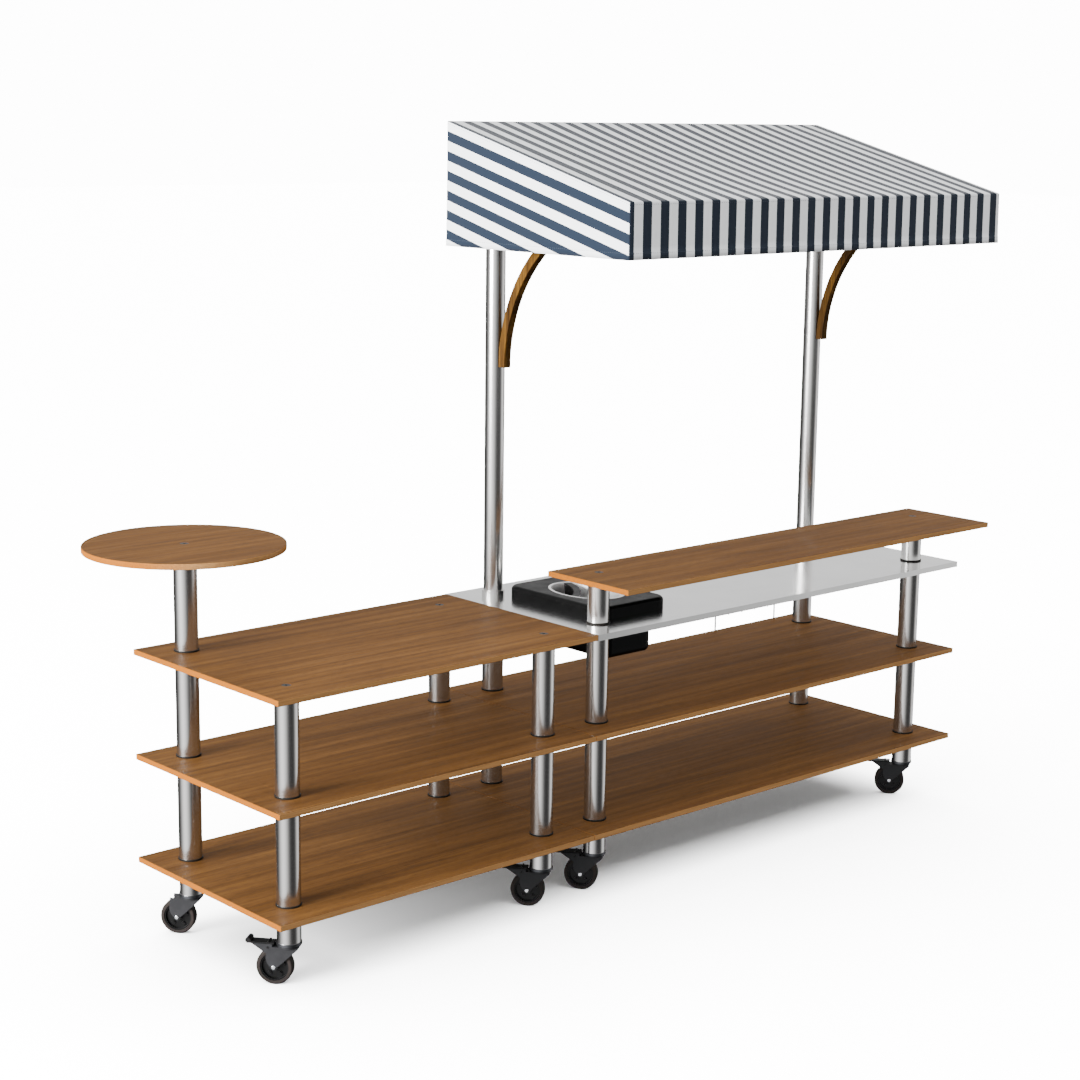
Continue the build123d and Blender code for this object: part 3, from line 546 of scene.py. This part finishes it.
def ripple(x, y, share):
    """How far a valance stands off its frame, at a share of the way down to the hem."""
    wave = 0.5 + 0.5 * noise.noise(Vector((x * 4.3, y * 4.3, 1.7)))
    fine = 0.5 + 0.5 * noise.noise(Vector((x * 13.0, y * 13.0, 6.1)))
    return share ** 1.5 * (SLOW_RIPPLE * wave + FINE_RIPPLE * fine)


print("Deepest dip:", round(roof_dip((left + right) / 2, (front + back) / 2) / MM, 1), "mm")

# %% Build the cover as one sheet
ACROSS, DEEP, ROWS = 96, 46, 9


def roof_z(y):
    """Height of the straight slope before it dips."""
    return brow_z + slope * (y - front)


def rim_walk():
    """Grid places round the edge of the top, with the panel that hangs from each step."""
    walk = [(i, 0, "front") for i in range(ACROSS)]
    walk += [(ACROSS, j, "right") for j in range(DEEP)]
    walk += [(i, DEEP, "back") for i in range(ACROSS, 0, -1)]
    return walk + [(0, j, "left") for j in range(DEEP, 0, -1)]


outward = {"front": Vector((0, -1, 0)), "right": Vector((1, 0, 0)),
           "back": Vector((0, 1, 0)), "left": Vector((-1, 0, 0))}


def hang(x, y, way, z, share, lift=0.0):
    """Point of a valance, moved off the frame."""
    return Vector((x, y, z)) + way * (ripple(x, y, share) + lift)


cloth = bmesh.new()
places = [left + (right - left) * i / ACROSS for i in range(ACROSS + 1)]
depths = [front + (back - front) * j / DEEP for j in range(DEEP + 1)]
top = [[cloth.verts.new((x, y, roof_z(y) - roof_dip(x, y))) for y in depths] for x in places]
panel_of = {}
for i in range(ACROSS):
    for j in range(DEEP):
        face = cloth.faces.new((top[i][j], top[i + 1][j], top[i + 1][j + 1], top[i][j + 1]))
        panel_of[face] = "top"

walk = rim_walk()
columns = []
for step, (i, j, panel) in enumerate(walk):
    x, y = places[i], depths[j]
    before = walk[step - 1][2]
    way = outward[panel] if before == panel else (outward[panel] + outward[before])
    edge_z = roof_z(y)
    heights = [(edge_z + (hem_z + HEM - edge_z) * k / ROWS, 0.0) for k in range(1, ROWS + 1)]
    heights += [(hem_z + HEM - STEP_FALL, HEM_STEP), (hem_z, HEM_STEP)]
    column = [top[i][j]]
    for z, lift in heights:
        share = (edge_z - z) / (edge_z - hem_z)
        column.append(cloth.verts.new(hang(x, y, way, z, share, lift)))
    columns.append(column)
for step, (i, j, panel) in enumerate(walk):
    here, there = columns[step], columns[(step + 1) % len(walk)]
    for k in range(len(here) - 1):
        panel_of[cloth.faces.new((here[k], here[k + 1], there[k + 1], there[k]))] = panel
cloth.normal_update()
print("Cover faces:", len(cloth.faces), "one skin, columns round the edge:", len(columns))

# %% [markdown]
# The maps are laid panel by panel, as the panels would be cut from striped cloth. On the top, the
# front and the back, a stripe number counts along the cart, and the left edge cuts the first navy
# stripe in half. On the ends it counts down from the sloping seam, and starts with white. Then the
# folds are rounded, because canvas cannot be creased to nothing.

# %% Lay the stripes and threads on the cloth
stripes_map = cloth.loops.layers.uv.new("stripes")
threads_map = cloth.loops.layers.uv.new("threads")
for face, panel in panel_of.items():
    for loop in face.loops:
        x, y, z = loop.vert.co
        if panel in ("left", "right"):
            loop[stripes_map].uv = ((roof_z(y) - z) / SIDE_STRIPE + 1, y)
            loop[threads_map].uv = (z, y)
        else:
            loop[stripes_map].uv = ((x - left) / stripe + 0.5, y)
            loop[threads_map].uv = (x, y if panel == "top" else z)
    face.smooth = True
flat_area = sum(face.calc_area() for face in cloth.faces)

folds = [edge for edge in cloth.edges if len(edge.link_faces) == 2
         and panel_of[edge.link_faces[0]] != panel_of[edge.link_faces[1]]]
bmesh.ops.bevel(cloth, geom=folds, offset=FOLD_ROUND, segments=3, profile=0.5, affect="EDGES",
                clamp_overlap=False)
for face in cloth.faces:
    face.smooth = True
canopy = finish_piece(cloth, "canvas_canopy", canvas, "awning_canvas", "cart", "awning_cover")
thickness = canopy.modifiers.new("Canvas thickness", "SOLIDIFY")
thickness.thickness = CANVAS
thickness.offset = -1
print("Folds rounded:", len(folds), "cut area:", round(flat_area, 3), "square metres")

# %% [markdown]
# ## Stitches
# Two kinds of stitching hold the cover together: a row along each top seam, and a row that holds
# the hem. A row of stitches is the same small loop of thread again and again along a line, which is
# what Geometry Nodes do best. The tree turns a line into evenly spaced points, puts a thread grain
# on each, turned along the line, and ends as plain faces. Real stitches here are 4 mm long and
# 0.6 mm thick. They are drawn 6 mm long and 1 mm thick, so that they show.

# %% Build the stitch tree
stitch_thread = skin_finish(
    "bonded polyester thread", "#454c58", 0.55, 0.5 * MM, 0.1 * MM, "#383e49", 0.5, 0.15)
stitch_tree = bpy.data.node_groups.new("Stitch row", "GeometryNodeTree")
STITCH_SIZES = {"Stitch spacing": 9 * MM, "Stitch length": 6 * MM, "Thread thickness": 1.0 * MM}
stitch_tree.interface.new_socket("Line", in_out="INPUT", socket_type="NodeSocketGeometry")
for label, value in STITCH_SIZES.items():
    socket = stitch_tree.interface.new_socket(label, in_out="INPUT", socket_type="NodeSocketFloat")
    socket.default_value = value
stitch_tree.interface.new_socket("Stitches", in_out="OUTPUT", socket_type="NodeSocketGeometry")

given = add(stitch_tree, "NodeGroupInput")
line = add(stitch_tree, "GeometryNodeMeshToCurve", {"Mesh": given.outputs["Line"]})
points = add(stitch_tree, "GeometryNodeCurveToPoints", {
    "Curve": line.outputs[0], "Length": given.outputs["Stitch spacing"]}, mode="LENGTH")
grain = add(stitch_tree, "GeometryNodeMeshUVSphere", {"Segments": 6, "Rings": 4, "Radius": 0.5})
size = add(stitch_tree, "ShaderNodeCombineXYZ", {
    "X": given.outputs["Thread thickness"], "Y": given.outputs["Thread thickness"],
    "Z": given.outputs["Stitch length"]})
shaped = add(stitch_tree, "GeometryNodeTransform", {
    "Geometry": grain.outputs["Mesh"], "Scale": size.outputs[0]})
placed = add(stitch_tree, "GeometryNodeInstanceOnPoints", {
    "Points": points.outputs["Points"], "Instance": shaped.outputs[0],
    "Rotation": points.outputs["Rotation"]})
real = add(stitch_tree, "GeometryNodeRealizeInstances", {"Geometry": placed.outputs[0]})
threaded = add(stitch_tree, "GeometryNodeSetMaterial", {
    "Geometry": real.outputs[0], "Material": stitch_thread})
add(stitch_tree, "NodeGroupOutput", {"Stitches": threaded.outputs[0]})
print("Stitch tree nodes:", len(stitch_tree.nodes))

# %% Sew the rows on the cover


def baked(name, lines, tree, values, body):
    """Run a node tree along lines of points and keep its result as a plain piece."""
    guide = bpy.data.meshes.new(name + "_guide")
    verts, edges = [], []
    for points in lines:
        edges += [(len(verts) + k, len(verts) + k + 1) for k in range(len(points) - 1)]
        verts += [tuple(p) for p in points]
    guide.from_pydata(verts, edges, [])
    holder = bpy.data.objects.new(name + "_guide", guide)
    bpy.context.scene.collection.objects.link(holder)
    sewing = holder.modifiers.new("Row", "NODES")
    sewing.node_group = tree
    for item in tree.interface.items_tree:
        if item.item_type == "SOCKET" and item.in_out == "INPUT" and item.name in values:
            sewing[item.identifier] = values[item.name]
    bpy.context.view_layer.update()
    graph = bpy.context.evaluated_depsgraph_get()
    mesh = bpy.data.meshes.new_from_object(holder.evaluated_get(graph), depsgraph=graph)
    bpy.data.objects.remove(holder)
    mesh.name = name
    piece = bpy.data.objects.new(name, mesh)
    bpy.context.scene.collection.objects.link(piece)
    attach(piece, body)
    return piece


SEAM_DROP = 8 * MM
HEM_SEAM_DROP = 4 * MM
LIFT = 0.35 * MM
SEAM_STEPS = 60
CORNER_GAP = 0.006
seam_lines, hem_lines = [], []
corners = {"front": ((left, front), (right, front)), "right": ((right, front), (right, back)),
           "back": ((right, back), (left, back)), "left": ((left, back), (left, front))}
for panel, ((x0, y0), (x1, y1)) in corners.items():
    seam, hem = [], []
    for k in range(SEAM_STEPS + 1):
        share = CORNER_GAP + (1 - 2 * CORNER_GAP) * k / SEAM_STEPS
        x, y = x0 + (x1 - x0) * share, y0 + (y1 - y0) * share
        z = roof_z(y) - SEAM_DROP
        fall = (roof_z(y) - z) / (roof_z(y) - hem_z)
        seam.append(hang(x, y, outward[panel], z, fall, LIFT))
        z = hem_z + HEM - HEM_SEAM_DROP
        fall = (roof_z(y) - z) / (roof_z(y) - hem_z)
        hem.append(hang(x, y, outward[panel], z, fall, HEM_STEP + LIFT))
    seam_lines.append(seam)
    hem_lines.append(hem)
seam_stitches = baked("seam_stitches", seam_lines, stitch_tree, STITCH_SIZES,
                      "cart")
hem_stitches = baked("hem_stitches", hem_lines, stitch_tree, STITCH_SIZES,
                     "cart")
print("Stitch faces:", len(seam_stitches.data.polygons), "and", len(hem_stitches.data.polygons))

# %% [markdown]
# ## Floor and light
# The cart stands on a plain pale studio floor. Steel is only as good as what it mirrors, so the
# room is set up like a studio: a wide bright screen on the left, a narrower one on the right, a
# pale ceiling, and darker gaps between them that draw the dark edges of a tube. A large soft lamp
# on the left makes the left ends of the cart the brightest faces. The floor has its own overhead
# wash, and is left out of reflections and bounced light, so that it stays pale without lighting the
# cart from below. The white behind the cart is seen by the camera only. Light that bounces between
# the boards is helped by a lamp overhead that reaches the boards only, with no shadows.

# %% Pale floor
floor_mesh = bpy.data.meshes.new("studio_floor")
reach = 60.0
floor_mesh.from_pydata(
    [(-reach, -reach, 0), (reach, -reach, 0), (reach, reach, 0), (-reach, reach, 0)],
    [], [(0, 1, 2, 3)])
floor = bpy.data.objects.new("studio_floor", floor_mesh)
bpy.context.scene.collection.objects.link(floor)
floor_paint, floor_tree = finish_named("matt white studio paint")
mottle = add(floor_tree, "ShaderNodeTexNoise", {
    "Vector": add(floor_tree, "ShaderNodeTexCoord").outputs["Object"], "Scale": 2.0, "Detail": 3})
floor_shade = add(floor_tree, "ShaderNodeMix", {
    "Factor": mottle.outputs["Fac"], 6: paint("#f2f2f2"), 7: paint("#f5f5f5")}, data_type="RGBA")
close_finish(floor_tree, add(floor_tree, "ShaderNodeBsdfPrincipled", {
    "Base Color": floor_shade.outputs[2], "Roughness": 0.9, "Specular IOR Level": 0.1}))
dress(floor, floor_paint)
floor.visible_diffuse = False
floor.visible_glossy = False
print("Floor side:", 2 * reach, "m")

# %% Room with two screens and a ceiling
room = bpy.data.worlds.new("studio room")
bpy.context.scene.world = room
room.use_nodes = True
room_tree = room.node_tree
room_tree.nodes.clear()
facing = add(room_tree, "ShaderNodeTexCoord").outputs["Generated"]


def screen(direction, tightness, strength):
    """Soft bright patch of the room towards one direction."""
    near = add(room_tree, "ShaderNodeVectorMath", {
        0: facing, 1: Vector(direction).normalized()}, operation="DOT_PRODUCT")
    lit = add(room_tree, "ShaderNodeMath", {0: near.outputs["Value"], 1: 0.0}, operation="MAXIMUM")
    tight = add(room_tree, "ShaderNodeMath", {0: lit.outputs[0], 1: tightness}, operation="POWER")
    return add(room_tree, "ShaderNodeMath", {
        0: tight.outputs[0], 1: strength}, operation="MULTIPLY")


left_screen = screen((-0.97, -0.2, -0.1), 4.5, 2.3)
right_screen = screen((0.91, -0.41, -0.15), 14, 1.7)
up = add(room_tree, "ShaderNodeSeparateXYZ", {"Vector": facing}).outputs["Z"]
ceiling = add(room_tree, "ShaderNodeMapRange", {
    "Value": up, "From Min": -0.08, "From Max": 0.12, "To Min": 0.06, "To Max": 1.35},
    interpolation_type="SMOOTHSTEP")
glow = add(room_tree, "ShaderNodeMath", {
    0: left_screen.outputs[0], 1: right_screen.outputs[0]}, operation="ADD")
glow = add(room_tree, "ShaderNodeMath", {
    0: glow.outputs[0], 1: ceiling.outputs[0]}, operation="ADD")
lit_room = add(room_tree, "ShaderNodeBackground", {"Color": glow.outputs[0], "Strength": 1.0})
backdrop = add(room_tree, "ShaderNodeBackground", {"Color": (1, 1, 1, 1), "Strength": 14.0})
sight = add(room_tree, "ShaderNodeLightPath")
seen = add(room_tree, "ShaderNodeMixShader", {
    0: sight.outputs["Is Camera Ray"], 1: lit_room.outputs[0], 2: backdrop.outputs[0]})
add(room_tree, "ShaderNodeOutputWorld", {"Surface": seen.outputs[0]})
print("Room nodes:", len(room_tree.nodes))

# %% Soft key lamp on the left and the floor's wash


def lamp(name, kind, power, place, target, **settings):
    """Light at a place, turned towards a target."""
    data = bpy.data.lights.new(name, kind)
    data.energy = power
    for key, value in settings.items():
        setattr(data, key, value)
    thing = bpy.data.objects.new(name, data)
    thing.location = place
    thing.rotation_euler = (Vector(target) - Vector(place)).to_track_quat("-Z", "Y").to_euler()
    bpy.context.scene.collection.objects.link(thing)
    return thing


middle = (cad_low + cad_high) / 2
lamp("key_softbox", "AREA", 3700, (-8.6, 0.3, 2.8), middle,
     shape="RECTANGLE", size=4.0, size_y=3.2)
wash = lamp("floor_wash", "SUN", 48.0, (0, 0, 6), (0, 0, 0), angle=math.radians(102))
floor_only = bpy.data.collections.new("floor_only")
floor_only.objects.link(floor)
wash.light_linking.receiver_collection = floor_only
bounce = lamp("board_bounce", "SUN", 4.3, (0, 0, 6), (0, 0, 0), angle=math.radians(60))
boards_only = bpy.data.collections.new("boards_only")
for name in board_names:
    boards_only.objects.link(bpy.data.objects["teak_" + name])
bounce.light_linking.receiver_collection = boards_only
bounce.light_linking.blocker_collection = floor_only

# %% [markdown]
# ## Camera
# The camera looks at the customer's side from the left, level with the ridge of the canopy. Its
# place and turn are written as a place in metres, a compass angle, a tilt and a small roll, so that
# each can be changed by itself.

# %% Camera
CAMERA_PLACE = Vector((-4.7204, -5.1491, 2.4998))
COMPASS, TILT, ROLL, LENS = math.radians(41.947), math.radians(-11.186), math.radians(0.715), 71.295

ahead = Vector((
    math.sin(COMPASS) * math.cos(TILT), math.cos(COMPASS) * math.cos(TILT), math.sin(TILT)))
level = Vector((math.cos(COMPASS), -math.sin(COMPASS), 0))
above = level.cross(ahead)
across = level * math.cos(ROLL) + above * math.sin(ROLL)
upright = above * math.cos(ROLL) - level * math.sin(ROLL)
camera_data = bpy.data.cameras.new("camera")
camera_data.lens = LENS
camera_data.sensor_width = 36.0
camera_data.clip_end = 200.0
camera = bpy.data.objects.new("camera", camera_data)
turn = Matrix((across, upright, -ahead)).transposed().to_4x4()
camera.matrix_world = Matrix.Translation(CAMERA_PLACE) @ turn
bpy.context.scene.collection.objects.link(camera)
bpy.context.scene.camera = camera
print("Camera distance:", round((CAMERA_PLACE - middle).length, 2), "m")
